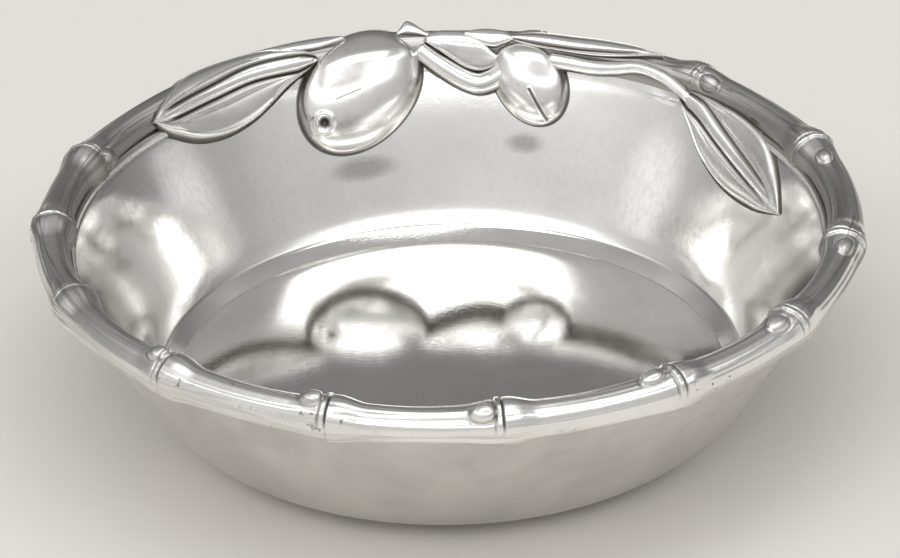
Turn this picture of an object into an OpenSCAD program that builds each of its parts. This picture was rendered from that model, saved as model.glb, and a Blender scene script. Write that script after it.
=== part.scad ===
// Polished aluminium serving bowl with a bamboo rim and an olive sprig.
// Millimetres, +Z up. The origin is the middle of the foot, on the table.
// Bearings are degrees anticlockwise from +X, seen from above; the sprig is at the back, +Y.

/* [Bowl] */
// Diameter of the circle that the rim canes follow
rim_d = 220; // [210:1:235]
// Height of the canes' centre line above the table
rim_h = 55.5; // [50:0.5:62]
// Diameter of the flat floor inside
floor_d = 154; // [146:1:160]
// Height of the floor above the table
floor_h = 8.5; // [7.5:0.5:10]
// Width of the sloped band between the floor and the wall
band_w = 4.3; // [3:0.1:6]
// Rise of that band
band_h = 3.5; // [2.5:0.1:5]
// Thickness of the wall and of the floor
wall_t = 4; // [3:0.1:5]
// Radius of the outside turn from the foot into the wall
turn_r = 34; // [30:1:38]
// Width of the flat ring that the bowl stands on
foot_w = 9; // [6:0.5:14]

/* [Bamboo rim] */
// Diameter of a cane between its joints
cane_d = 10.5; // [9.5:0.1:11.5]
// Diameter of the swelling just after a joint
knob_d = 13; // [12:0.1:14]
// Outside diameter of the thin ring at each end of a cane
ring_d = 14; // [13:0.1:15]
// Thickness of that ring
ring_t = 1.6; // [1.2:0.1:2.4]
// Diameter of the round bud just before a joint
bud_d = 5.4; // [4:0.1:6.5]
// How far the canes' centre line lies outside the wall's inner face
cane_out = 3.1; // [2.5:0.1:3.6]
// How far the wall's lip stops short of the cane's middle
lip_gap = 1; // [0.5:0.1:2]

/* [Olive sprig] */
// Length of the large olive
olive_large_l = 47.5; // [42:0.5:52]
// Diameter of the large olive
olive_large_d = 34.5; // [31:0.5:38]
// How deep the large olive's middle lies behind the wall's face
olive_large_sunk = 7; // [5:0.5:9]
// Length of the small olive
olive_small_l = 28.5; // [25:0.5:32]
// Diameter of the small olive
olive_small_d = 22; // [20:0.5:25]
// How deep the small olive's middle lies behind the wall's face
olive_small_sunk = 3.5; // [2:0.5:5]
// Height of a leaf's edge off the wall
leaf_edge = 2.8; // [2.5:0.1:4]
// Extra height of a leaf half way from its edge to its rib
leaf_crown = 0.9; // [0.5:0.1:1.5]
// Extra height of the rib down a leaf's middle
leaf_rib = 0.8; // [0.4:0.1:1.5]
// Clearance between the leaves and stems and what they lie on
sprig_gap = 0.3; // [0.2:0.05:0.4]

/* [Hidden] */
$fn = 96;
rim_r = rim_d / 2;
cane_r = cane_d / 2;
ring_r = ring_d / 2;

// Bamboo joints, a little uneven as real canes are: bearing, the stretch round the cane that has rings,
// then for a joint with a bud its distance before the joint and its angle. Angles go up from outward.
all_round = [-180, 180];
under_sprig = [-42, 42];
JOINTS = [
    [20, all_round, 12, 100],
    [48, [-100, 128], 7, 130],
    [75.5, under_sprig],
    [103, under_sprig],
    [130.5, under_sprig],
    [158.5, all_round, 4, 165],
    [179.5, all_round],
    [202, all_round],
    [227.5, all_round, 4, 85],
    [253, all_round, 5, 90],
    [276.5, all_round, 5, 60],
    [302, all_round, 7, 87],
    [325.5, all_round, 8, 75],
    [350, all_round, 8, 75],
];
cane_count = len(JOINTS);
// Half of the open seam at a joint whose rings don't go all round
seam = 0.3;
// Degrees that a plain cane is tucked back inside its collars
tuck = 0.5;
// Length of the swelling after a joint, and of the one before it
knob_after = 11;
knob_before = 9;
// Radius at which a swelling's tail ends inside the cane
tail_r = cane_r - 0.8;

// Wall line: it starts at the crease above the band and leans out to the rim
crease = [floor_d / 2 + band_w, floor_h + band_h];
cane_axis = [rim_r, rim_h];
reach = norm(cane_axis - crease);
lean = atan2(cane_axis.x - crease.x, cane_axis.y - crease.y) - asin(cane_out / reach);
wall_dir = [sin(lean), cos(lean)];
wall_in = [-cos(lean), sin(lean)];
wall_run = sqrt(reach * reach - cane_out * cane_out);
lip_run = wall_run - lip_gap;

// Outside turn: an arc that is tangent to the table and to the outer wall
outer_start = crease - wall_t * wall_in;
turn_c = [outer_start.x - (outer_start.y - turn_r) * tan(lean) - turn_r / cos(lean), turn_r];
recess_h = floor_h - wall_t;
recess_r = turn_c.x - foot_w;

// Sprig places are [bearing, rise]: rise is measured up the wall and over the rim, from the line
// where the wall meets the middle of the canes
drape_r = cane_out + leaf_edge + leaf_crown / 2;
mm_per_degree = PI / 180 * rim_r;

// Olives: name, length, diameter, place of the middle, turn from upright, depth of the middle
OLIVES = [
    ["olive_large", olive_large_l, olive_large_d, [104.4, -11], 45, olive_large_sunk],
    ["olive_small", olive_small_l, olive_small_d, [74.8, -10], -25, olive_small_sunk],
];

// Leaves: name, base, tip, half widths left and right of the rib, sideways bow, extra height
LEAVES = [
    ["leaf_left", [112, 0], [143.5, -1], [11, 14.4], 0, 0.6],
    ["leaf_left_back", [107.5, 8], [122.5, 12], [3.5, 3.5], 0, 0.4],
    ["leaf_crest", [96.4, 8.5], [91.5, 8.5], [2.5, 2.5], 0, 1],
    ["leaf_middle", [93, 4.5], [80.5, -1], [5, 2.5], 0, 0.6],
    ["leaf_curl", [87.5, 5.5], [79.5, 6], [3, 3], 0, 0.4],
    ["leaf_top", [79, 5.5], [54.5, 7], [4, 4], 0, 0.2],
    ["leaf_right", [50, -2.5], [15, -18.2], [10.3, 11.7], 3.4, 0],
];

// Stems: name, radius at the start and at the end, lift of the middle, places along the way
STEMS = [
    ["stem_middle", 2.9, 2.4, 1.2,
        [[95.5, 1.5], [92, -3.5], [88, -9], [84.5, -12], [82.5, -10.5], [81.8, -7]]],
    ["stem_right", 3, 2.2, 1.8,
        [[70, -1.5], [66.5, -3.7], [62, -3.2], [57, -1.2], [53, -0.4], [50.5, -2]]],
];

// Least thickness of a stem where the cane swells up under it
stem_skin = 0.8;
// How far an olive's back stays inside the outermost line of the canes
olive_inset = 0.5;

function two_digits(n) = n < 10 ? str("0", n) : str(n);
function cane_name(k) = str("rim_cane_", two_digits(k + 1));
function names(table) = [for (row = table) row[0]];
function mix(a, b, t) = a + (b - a) * t;
function arc(c, r, from, to, steps = 16) =
    [for (i = [0:steps]) c + r * [cos(mix(from, to, i / steps)), sin(mix(from, to, i / steps))]];

// Points of the wall's section at a run up from the crease
function wall_inner(run) = crease + run * wall_dir;
function wall_outer(run) = outer_start + run * wall_dir;

module shell_section() {
    polygon(concat(
        [[0, recess_h], [recess_r - recess_h, recess_h], [recess_r, 0]],
        arc(turn_c, turn_r, -90, -lean),
        [wall_outer(lip_run), wall_inner(lip_run), crease, [floor_d / 2, floor_h], [0, floor_h]]
    ));
}

module bowl_shell() {
    color("#b9b9b7") rotate_extrude() shell_section();
}

// Stands its children on the canes' centre line: X outward, Y down, Z along the cane
module at_rim(bearing) {
    rotate(bearing) translate([rim_r, 0, rim_h]) rotate([-90, 0, 0]) children();
}

function degrees_along(length) = length / rim_r * 180 / PI;
function goes_round(joint) = joint[1] == all_round;

// Ring at the joint face and a swelling that dies away into the cane
module collar(length, stretch) {
    edge = ring_t / 4;
    steps = 8;
    rotate(-stretch[1]) rotate_extrude(angle = stretch[1] - stretch[0]) polygon(concat(
        [[0, 0], [ring_r - edge, 0], [ring_r, edge], [ring_r, ring_t - edge], [ring_r - edge, ring_t]],
        [for (i = [0:steps]) [mix(tail_r, knob_d / 2, (1 + cos(180 * i / steps)) / 2),
            mix(ring_t, length, i / steps)]],
        [[0, length]]
    ));
}

module joint_collar(joint, length) {
    translate([0, 0, goes_round(joint) ? 0 : seam]) collar(length, joint[1]);
}

module bud(joint) {
    at_rim(joint[0] - degrees_along(joint[2])) rotate(-joint[3]) translate([cane_r, 0, 0])
        rotate([0, 90, 0]) sphere(d = bud_d, $fn = 32);
}

module rim_cane(k) {
    first = JOINTS[k];
    last = JOINTS[(k + 1) % cane_count];
    start = first[0];
    end = last[0] > start ? last[0] : last[0] + 360;
    from = start + (goes_round(first) ? tuck : 0);
    to = end - (goes_round(last) ? tuck : 0);
    color("#c4c4c1") difference() {
        union() {
            rotate(from) rotate_extrude(angle = to - from) translate([rim_r, rim_h]) circle(r = cane_r);
            at_rim(start) joint_collar(first, knob_after);
            at_rim(end) mirror([0, 0, 1]) joint_collar(last, knob_before);
            if (len(last) > 2) bud(last);
        }
        rotate_extrude() polygon([crease, outer_start, wall_outer(lip_run), wall_inner(lip_run)]);
    }
}

// What the olives lie against: all that is behind the wall's inner face, a plain cane, and the space
// outside the canes, so that no olive hangs over behind the rim
module backing() {
    far = rim_d;
    top = wall_inner(lip_run);
    outside_r = rim_r + cane_r - olive_inset;
    rotate_extrude() polygon([crease, top, [outside_r, top.y], [outside_r, far], [far, far], [far, 0],
        [crease.x, 0]]);
    rotate_extrude() translate([rim_r, rim_h]) circle(r = cane_r);
}

// Half outline of an olive, from its lower end to its upper end
function egg(length, width, steps = 24) =
    [for (i = [0:steps]) [width / 2 * sin(180 * i / steps), -length / 2 * cos(180 * i / steps)]];

// Olive in relief, pressed against what lies behind it
module olive(row) {
    place = row[3];
    middle = wall_inner(wall_run + place.y) - row[5] * wall_in;
    color("#bdbdba") difference() {
        rotate(place.x - 90) translate([0, middle.x, middle.y])
            rotate([-lean, 0, 0]) rotate([0, row[4], 0])
                rotate_extrude() polygon(egg(row[1], row[2]));
        backing();
    }
}

// Lift of a piece's back: clear of the wall, and of the cane where that swells past the wall
function seat(rise) =
    let (short = max(-rise, 0), hidden = cane_r * cane_r - short * short)
    sprig_gap + (hidden > cane_out * cane_out ? sqrt(hidden) - cane_out : 0);

// Point in space at a bearing, a rise up the wall and over the rim, and a lift off that surface
function drape(bearing, rise, lift) =
    let (
        face = 180 - lean - max(rise, 0) / drape_r * 180 / PI,
        section = cane_axis + min(rise, 0) * wall_dir + (cane_out + lift) * [cos(face), sin(face)]
    )
    [section.x * cos(bearing), section.x * sin(bearing), section.y];

// Closed solid between an upper and a lower grid of points with the same rows and columns
module slab(upper, lower) {
    rows = len(upper);
    cols = len(upper[0]);
    function at(corner, side) = side * rows * cols + corner.x * cols + corner.y;
    sheet = [for (i = [0:rows - 2], j = [0:cols - 2]) [[i, j], [i + 1, j], [i + 1, j + 1], [i, j + 1]]];
    border = concat(
        [for (i = [0:rows - 1]) [i, 0]],
        [for (j = [1:cols - 1]) [rows - 1, j]],
        [for (i = [rows - 2:-1:0]) [i, cols - 1]],
        [for (j = [cols - 2:-1:0]) [0, j]]
    );
    polyhedron(
        points = [for (grid = [upper, lower], row = grid, p = row) p],
        faces = concat(
            [for (q = sheet) [for (c = q) at(c, 0)]],
            [for (q = sheet) [for (m = [3:-1:0]) at(q[m], 1)]],
            [for (m = [0:len(border) - 2]) let (a = border[m], b = border[m + 1])
                [at(b, 0), at(a, 0), at(a, 1), at(b, 1)]]
        ),
        convexity = 6
    );
}

// Share of a leaf's full width at t from its base, 0, to its tip, 1
function leaf_width(t) = 0.05 + 0.95 * pow(sin(180 * pow(mix(0.02, 0.99, t), 1.15)), 0.8);

module leaf(row) {
    base = row[1];
    tip = row[2];
    widths = row[3];
    along = [(tip.x - base.x) * mm_per_degree, tip.y - base.y];
    across = [-along.y, along.x] / norm(along);
    steps = 20;
    sides = [-1, -0.85, -0.65, -0.4, -0.15, 0, 0.15, 0.4, 0.65, 0.85, 1];
    function place(t, v) =
        let (offset = row[4] * sin(180 * t) + v * leaf_width(t) * (v > 0 ? widths[0] : widths[1]))
        let (p = along * t + across * offset)
        [base.x + p.x / mm_per_degree, base.y + p.y];
    function height(v) = leaf_edge + row[5] + leaf_crown * sin(180 * abs(v)) + (v == 0 ? leaf_rib : 0);
    function grid(upper) = [for (i = [0:steps]) [for (v = sides)
        let (p = place(i / steps, v)) drape(p.x, p.y, upper ? height(v) : seat(p.y))]];
    color("#c2c2c0") slab(grid(true), grid(false));
}

// Smooth path through hand-picked places, at t from 0 to 1
function spline(points, t) =
    let (
        n = len(points) - 1,
        i = min(floor(t * n), n - 1),
        u = t * n - i,
        p0 = points[max(i - 1, 0)],
        p1 = points[i],
        p2 = points[i + 1],
        p3 = points[min(i + 2, n)]
    )
    p1 + (p2 - p0) * u / 2 + (2 * p0 - 5 * p1 + 4 * p2 - p3) * u * u / 2
        + (3 * p1 - p0 - 3 * p2 + p3) * u * u * u / 2;

// Round stem pressed flat where it lies on the wall or the cane
module stem(row) {
    steps = 30;
    sides = 16;
    function place(t) = let (p = spline(row[4], t)) [p.x * mm_per_degree, p.y];
    function section(t) =
        let (
            ahead = place(min(t + 0.01, 1)) - place(max(t - 0.01, 0)),
            across = [-ahead.y, ahead.x] / norm(ahead),
            r = mix(row[1], row[2], t)
        )
        [for (m = [0:sides - 1])
            let (
                turn = 360 * m / sides,
                p = place(t) + across * r * cos(turn),
                skin = max(stem_skin * sin(turn), 0)
            )
            drape(p.x / mm_per_degree, p.y, max(row[3] + r * sin(turn), seat(p.y) + skin))];
    rings = [for (i = [0:steps]) section(i / steps)];
    color("#b5b5b2") polyhedron(
        points = [for (ring = rings, p = ring) p],
        faces = concat(
            [[for (m = [sides - 1:-1:0]) m]],
            [[for (m = [0:sides - 1]) steps * sides + m]],
            [for (i = [0:steps - 1], m = [0:sides - 1]) let (n = (m + 1) % sides)
                [i * sides + m, i * sides + n, (i + 1) * sides + n, (i + 1) * sides + m]]
        ),
        convexity = 6
    );
}

bowl_shell();
for (k = [0:cane_count - 1]) rim_cane(k);
for (row = OLIVES) olive(row);
for (row = LEAVES) leaf(row);
for (row = STEMS) stem(row);
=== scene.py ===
"""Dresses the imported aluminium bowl: polished shell, bamboo rim and olive sprig on a pale table.

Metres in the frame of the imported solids. The tables below are in millimetres and degrees, with
bearings anticlockwise from +X seen from above, as in the part's source.
"""
import math

import bmesh
import bpy
from bpy.props import FloatProperty, FloatVectorProperty, PointerProperty
from bpy.types import Operator, Panel, PropertyGroup
from mathutils import Matrix, Vector, noise


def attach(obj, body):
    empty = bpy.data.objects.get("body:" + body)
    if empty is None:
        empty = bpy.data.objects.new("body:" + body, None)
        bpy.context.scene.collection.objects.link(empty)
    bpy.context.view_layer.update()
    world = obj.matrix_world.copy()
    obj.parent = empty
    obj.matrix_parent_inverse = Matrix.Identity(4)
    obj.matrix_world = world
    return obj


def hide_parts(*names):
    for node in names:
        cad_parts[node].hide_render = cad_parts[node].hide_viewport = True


bl_info = {
    "name": "Bamboo Rim Bowl",
    "version": (1, 0, 0),
    "blender": (4, 5, 0),
    "location": "3D View > Sidebar > Bowl",
    "description": "Makes a cast aluminium bowl with a bamboo rim and an olive sprig",
    "category": "Add Mesh",
}

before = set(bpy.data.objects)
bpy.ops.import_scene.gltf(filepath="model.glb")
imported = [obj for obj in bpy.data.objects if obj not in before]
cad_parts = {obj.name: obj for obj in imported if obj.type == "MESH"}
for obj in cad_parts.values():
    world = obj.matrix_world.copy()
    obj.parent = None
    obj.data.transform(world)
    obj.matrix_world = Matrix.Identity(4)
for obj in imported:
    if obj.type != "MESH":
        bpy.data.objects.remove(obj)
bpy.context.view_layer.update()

MM = 0.001
BODY = "root"

# Points closer together than this are one point
WELD = 0.001 * MM

# Bamboo joints: bearing, stretch round the cane that has rings, and for a joint with a bud the bud's
# distance before the joint and its angle. Angles round a cane go up from outward.
ALL_ROUND = (-180, 180)
UNDER_SPRIG = (-42, 42)
JOINTS = [
    (20, ALL_ROUND, (12, 100)),
    (48, (-100, 128), (7, 130)),
    (75.5, UNDER_SPRIG, None),
    (103, UNDER_SPRIG, None),
    (130.5, UNDER_SPRIG, None),
    (158.5, ALL_ROUND, (4, 165)),
    (179.5, ALL_ROUND, None),
    (202, ALL_ROUND, None),
    (227.5, ALL_ROUND, (4, 85)),
    (253, ALL_ROUND, (5, 90)),
    (276.5, ALL_ROUND, (5, 60)),
    (302, ALL_ROUND, (7, 87)),
    (325.5, ALL_ROUND, (8, 75)),
    (350, ALL_ROUND, (8, 75)),
]

# Buds: length and height, as shares of the width
BUD_LONG = 1.4
BUD_HIGH = 0.38

# Olives: name, place of the middle, turn from upright
OLIVES = [
    ("olive_large", (104.6, -11.25), 62),
    ("olive_small", (75.9, -9.4), -46),
]

# Swing of the wall's inner face off a straight line: run up the wall, lift
WALL_SWING = [
    (-0.33, -1.23), (1.2, -1.39), (2.7, -1.53), (4.2, -1.6), (6.5, -1.57), (12, -1.3), (20, -0.85),
    (27, -0.5), (34, -0.32), (42, -0.42), (46, -0.6), (49, -0.45), (52, 0),
]

# Bearings between which the bead under the canes dies out at the sprig, and comes back after it
BEAD_DIES = (46, 56)
BEAD_RETURNS = (132, 142)

# Dark patches painted on the wall under the olives as painted reflections: place, half width and half
# height
PAINTED_REFLECTIONS = [((105.5, -33.5), 14, 4.2), ((76, -27.4), 7.5, 3.6)]

# Share of an olive's outline that the dome takes; a narrow brim goes round it, painted dark as shade
# where the olive meets the wall, partly tarnish
BRIM = 0.975

# Marks sunk in an olive: olive, first and last place, half width, depth, height of the lip round it
MARKS = [
    ("olive_large", (112.6, -18.6), (112.6, -18.6), 2.2, 1.8, 0.55),
    ("olive_large", (109.8, -12.6), (105.3, -10.9), 0.5, 0.1, 0),
    ("olive_small", (75.2, -11.9), (71.9, -20), 0.55, 0.62, 0.12),
]

# Strength of the darkening in each place, 0 to 1, from tarnish, painted shade and painted reflections
TARNISH_AND_SHADE = {
    # Painted shade, partly tarnish, in the groove under the canes; painted shade at the bead, its foot,
    # the corner and low on the outside; the dark patches on the wall are painted reflections
    "groove": 0.95, "bead_foot": 0.5, "bead": 0.25, "corner": 0.6, "painted_reflection": 0.6, "outside": 0.14,
    # Tarnish in the seams, ring lines and moats; painted shade on the canes' underside; tarnish streaks
    # and painted shade on the back and side canes
    "seam": 0.8, "ring_line": 0.7, "moat": 0.55, "cane_inside": 0.72, "cane_tarnish_and_shade": 0.4,
    # Tarnish in the marks; painted shade, partly tarnish, at the olives' brims and the leaves' outlines;
    # painted shade along the stems' sides
    "brim": 0.85, "mark": 0.9, "outline": 0.95, "stem_left": 0.9, "stem_right": 0.7,
}

# Leaves: name, section, extra height, then places from the base to the tip along the rib, along the
# edge on its left and along the edge on its right. The edges share the rib's two ends.
LEAVES = [
    ("leaf_left", "ribbed", 0.6,
     [(110.2, 0), (116.2, 0.4), (122.6, 0.6), (129.6, -0.6), (138.4, -1.3), (143.4, -1)],
     [(112.4, 5), (118.2, 9.6), (125, 10.8), (131.5, 10.3), (136.5, 7.6), (140.8, 3)],
     [(115.2, -5.6), (119.9, -10.5), (124.5, -13.8), (130, -15), (135.5, -13), (140, -7.8)]),
    ("leaf_left_back", "smooth", 0.5,
     [(104.8, 6.4), (109.6, 7.9), (114, 9), (119, 10.6), (124, 11.5)],
     [(109.6, 11.6), (114, 13.4), (119, 13.5)],
     [(109.8, 3), (114, 3.8), (119, 7.4)]),
    ("leaf_crest", "smooth", 2.2,
     [(98, 6.5), (96.3, 8.4), (95, 8.6), (93, 6.6), (89.8, 4.4)],
     [(96.4, 5.4), (94.8, 4.6), (92.4, 3.6)],
     [(96.2, 10.7), (95, 10.9), (92.8, 8.4)]),
    ("leaf_middle", "smooth", 0.5,
     [(93.5, 2.4), (90, 1), (87.5, -0.6), (85, -2), (83, -2.9), (80.5, -3.4)],
     [(91.2, -1.6), (89.2, -4.6), (87, -7.4), (84.6, -8.4), (82.3, -7)],
     [(91.5, 7.6), (88.5, 8.4), (86.2, 7.2), (84, 3.4), (82.2, -0.8)]),
    ("leaf_curl", "smooth", 0.9,
     [(87.2, 4), (85, 3.9), (83, 3.4), (81, 3.2), (79, 2.8)],
     [(85, 1), (82.2, -0.9), (80.4, 0.8)],
     [(84.7, 6.6), (82.4, 7.3), (80.2, 6)]),
    ("leaf_top", "ribbed", 0.3,
     [(81, 3.4), (75, 3.4), (69.5, 3.2), (64, 4.1), (59, 5.2), (54.4, 6.4)],
     [(76, 0.4), (71, -0.4), (65.5, -0.4), (60, 1.8)],
     [(76, 7), (70, 7.4), (64, 8), (58.5, 8)]),
    ("leaf_right", "ribbed", 0.3,
     [(51, -2), (48.3, -3.6), (43.8, -6.3), (38.1, -10.8), (31.5, -14.7), (24, -17.5), (16.9, -18.8)],
     [(49, -6.2), (45.3, -14.2), (40, -21.2), (32.9, -25), (24.5, -24.1)],
     [(46.5, -1.6), (42.9, -0.6), (36.4, -0.7), (30, -2.9), (23.3, -9.8)]),
]

# Half sections of a leaf from its rib to its edge: place across, height over the edge, and darkening,
# which is tarnish in the grooves and painted shade, partly tarnish, at the foot of the edge.
# Across, the rib, the groove beside it, the blade and the bevelled edge count 1 each.
BLADE, BEVEL, EDGE = 2, 3, 4
LEAF_SECTIONS = {
    "ribbed": [
        (0, 0.9, 0), (0.7, 0.88, 0), (1, 0.6, 0.45), (1.35, -0.5, 0.9), (1.65, -0.6, 0.9), (2, 0.15, 0.6),
        (2.12, 0.38, 0.16), (2.24, 0.5, 0.14), (2.28, 0.34, 0.4), (2.33, 0.42, 0.18), (2.5, 0.5, 0.18),
        (2.7, 0.46, 0.2), (2.88, 0.3, 0.24), (3, 0.14, 0.3), (3.12, 0.44, 0), (3.27, 0.25, 0),
        (3.43, -0.7, 0.3), (3.55, -1.9, 0.85), (3.66, -2.6, 0.95), (3.9, -2.9, 1), (4, -9, 1),
    ],
    "smooth": [
        (2, 0.5, 0), (2.2, 0.49, 0), (2.4, 0.45, 0), (2.6, 0.36, 0), (2.8, 0.2, 0), (3, -0.1, 0),
        (3.22, -0.4, 0), (3.42, -1, 0.3), (3.55, -1.9, 0.85), (3.66, -2.6, 0.95), (3.9, -2.9, 1),
        (4, -9, 1),
    ],
}

# Stems: name, radius at the start and at the end, lift of the middle, places along the way
STEMS = [
    ("stem_middle", 2.9, 3.7, 1.3,
     [(94.6, 0.2), (92.6, -2.9), (91, -5.2), (87.6, -9.1), (84.7, -10.9), (82.4, -9.9), (80.3, -7.6),
      (78.2, -6), (76, -6.8)]),
    ("stem_right", 2.6, 1.7, 1.8,
     [(73.4, -2.6), (69.8, -2.8), (65.5, -2.9), (61.5, -1.8), (57.5, 0), (53.5, -0.6), (50, -2.5),
      (46.5, -4.8)]),
]

# Room behind the table and in front of it: height of a direction, 0 level and 1 overhead, and its grey
ROOM_BEHIND = [(0, 0.2), (0.35, 0.2), (0.5, 0.21), (0.62, 0.36), (0.9, 0.4), (1, 0.4)]
ROOM_BEFORE = [
    (0, 0.58), (0.2, 0.64), (0.4, 0.67), (0.53, 0.74), (0.58, 1.3), (0.63, 2.7), (0.71, 2.7),
    (0.78, 0.75), (0.85, 0.6), (1, 0.55),
]

# Windows of the room: direction, strength
WINDOWS = [
    ((0.980, 0.051, 0.191), 0.9),
    ((-0.932, -0.285, 0.225), 0.8),
]


def length(name, description, size):
    """Length property whose default is given in millimetres."""
    return FloatProperty(name=name, description=description, default=size * MM, min=0, unit="LENGTH",
                         precision=5)


def colour(name, description, rgb):
    """Colour property with three channels."""
    return FloatVectorProperty(name=name, description=description, default=rgb, min=0, max=1, size=3,
                               subtype="COLOR")


def share(name, description, value):
    """Property for a share from 0 to 1."""
    return FloatProperty(name=name, description=description, default=value, min=0, max=1,
                         subtype="FACTOR")


def spot(name, description, place):
    """Property for a point in metres."""
    return FloatVectorProperty(name=name, description=description, default=place, size=3,
                               subtype="TRANSLATION")


class BowlSizes(PropertyGroup):
    """Sizes of the plain bowl."""

    rim_d: length("Rim diameter", "Diameter of the circle that the canes follow", 220)
    rim_h: length("Rim height", "Height of the canes' centre line above the table", 55.5)
    floor_d: length("Floor diameter", "Diameter of the flat floor inside", 154)
    floor_h: length("Floor height", "Height of the floor above the table", 8.5)
    band_w: length("Band width", "Width of the sloped band between floor and wall", 4.3)
    band_h: length("Band rise", "Rise of that band", 3.5)
    wall_t: length("Wall thickness", "Thickness of the wall and the floor", 4)
    turn_r: length("Turn radius", "Radius of the outside turn from the foot into the wall", 34)
    foot_w: length("Foot width", "Width of the flat ring that the bowl stands on", 9)
    lip_w: length("Lip bead width", "Width of the bead under the canes inside the bowl", 3.8)
    lip_h: length("Lip bead height", "How far that bead stands off the wall", 1.4)
    lip_drop: length("Lip bead drop", "How far below the canes' middle that bead runs", 5.2)
    floor_wave: length("Floor waves", "Height of the hammer waves on the floor", 0.015)
    wall_wave: length("Wall waves", "Height of the hammer waves where the inside is steep", 0.1)


class RimSizes(PropertyGroup):
    """Sizes of the bamboo rim."""

    cane_d: length("Cane diameter", "Diameter of a cane between its joints", 10.5)
    knob_d: length("Knob diameter", "Diameter of the swelling next to a joint", 13.4)
    ring_d: length("Ring diameter", "Outside diameter of the thin ring at each cane's end", 14)
    ring_t: length("Ring thickness", "Thickness of that ring", 1.6)
    knob_after: length("Knob after a joint", "Length of the swelling after a joint", 8.5)
    knob_before: length("Knob before a joint", "Length of the swelling before a joint", 9)
    knob_full: length("Full knob", "Length at full height of the swelling after a joint", 1.8)
    seam_w: length("Seam width", "Width of the seam after a joint", 0.7)
    seam_h: length("Seam depth", "Depth of that seam", 0.9)
    line_h: length("Line depth", "Depth of the line beside a ring", 0.3)
    bud_d: length("Bud diameter", "Diameter of the round bud before a joint", 4.9)
    cane_out: length("Cane offset", "How far the canes' centre line lies outside the wall's face", 3.1)
    lip_gap: length("Lip gap", "How far the wall's lip stops short of the canes' middle", 1)
    uneven: length("Unevenness", "How far a cane's surface wanders from a true round", 0.4)
    waist: length("Waist", "How much thinner a cane is half-way between its joints", 0.45)


class SprigSizes(PropertyGroup):
    """Sizes of the olive sprig."""

    olive_large_l: length("Large olive length", "Length of the large olive", 45.6)
    olive_large_w: length("Large olive width", "Width of the large olive", 32.7)
    olive_large_h: length("Large olive height", "How far the large olive stands off the wall", 9.5)
    olive_small_l: length("Small olive length", "Length of the small olive", 29.6)
    olive_small_w: length("Small olive width", "Width of the small olive", 22.3)
    olive_small_h: length("Small olive height", "How far the small olive stands off the wall", 7)
    leaf_edge: length("Leaf edge", "Height of a leaf's edge off the wall", 2.8)
    leaf_crown: length("Leaf crown", "Extra height of a leaf between its edge and its rib", 0.9)
    rib_w: length("Rib width", "Half width of a leaf's rib at its base", 2.1)
    groove_w: length("Groove width", "Width of the groove beside the rib", 1)
    bevel_w: length("Bevel width", "Width of a leaf's sloped edge", 3)
    brim_h: length("Brim height", "Height of the dark brim round an olive", 0.35)
    bed: length("Bed", "How deep the pieces of the sprig are let into what carries them", 0.6)
    sole: length("Sole", "How far a leaf's underside lies below its bed", 0.2)
    skirt: length("Skirt", "Height of the dark line round a leaf over what carries it", 0.15)


class BowlFinish(PropertyGroup):
    """Colours and polish of the aluminium."""

    bright: colour("Bright metal", "Freshly polished aluminium", (0.93, 0.92, 0.905))
    handled: colour("Handled metal", "Polished aluminium that has been handled", (0.85, 0.84, 0.82))
    cast: colour("Cast metal", "Satin aluminium of the outside", (0.77, 0.755, 0.735))
    cast_dull: colour("Dull cast metal", "Duller patches of the outside", (0.67, 0.662, 0.65))
    # Dark colour of the tarnish in hollows, also used for painted shade and painted reflections
    tarnish_and_shade: colour("Tarnish", "Dark film left in the hollows", (0.115, 0.102, 0.085))
    polish: share("Floor roughness", "Roughness of the polished floor", 0.07)
    buffed: share("Wall roughness", "Roughness of the wall inside", 0.13)
    satin: share("Outside roughness", "Roughness of the satin outside", 0.36)
    relief: share("Relief roughness", "Roughness of the canes and the sprig", 0.21)


class StageLook(PropertyGroup):
    """Camera, table and light."""

    table: colour("Table", "Colour of the table", (0.84, 0.814, 0.772))
    table_w: length("Table width", "Width of the square table", 8000)
    lens: FloatProperty(name="Lens", description="Focal length in millimetres", default=229.1, min=1)
    roll: FloatProperty(name="Roll", description="How far the camera leans", subtype="ANGLE",
                        default=math.radians(-1.35))
    camera: spot("Camera", "Place of the camera", (0, -1.3994, 0.8098))
    aim: spot("Aim", "Point that the camera looks at", (0, 0.0036, 0.0364))
    lamp: spot("Lamp", "Place of the large soft lamp overhead", (0.05, -0.2, 1.8))
    lamp_w: length("Lamp width", "Width of that lamp", 1800)
    lamp_l: length("Lamp length", "Length of that lamp", 1020)
    key: FloatProperty(name="Lamp power", description="Power of that lamp", unit="POWER", default=9.5,
                       min=0)


def mix(a, b, t):
    """Value between a and b at t from 0 to 1."""
    return a + (b - a) * t


def step(low, high, x):
    """Smooth step from 0 at low to 1 at high."""
    t = min(max((x - low) / (high - low), 0), 1)
    return t * t * (3 - 2 * t)


def hump(x):
    """Round hump: 1 at 0, and 0 from -1 down and from 1 up."""
    return (1 + math.cos(math.pi * x)) / 2 if abs(x) < 1 else 0


def spline(places, t):
    """Smooth path through the places, at t from 0 to 1."""
    n = len(places) - 1
    i = min(int(t * n), n - 1)
    u = t * n - i
    p0, p1, p2, p3 = (places[min(max(i + j, 0), n)] for j in (-1, 0, 1, 2))
    return (p1 + (p2 - p0) * u / 2 + (2 * p0 - 5 * p1 + 4 * p2 - p3) * u ** 2 / 2
            + (3 * p1 - p0 - 3 * p2 + p3) * u ** 3 / 2)


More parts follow.
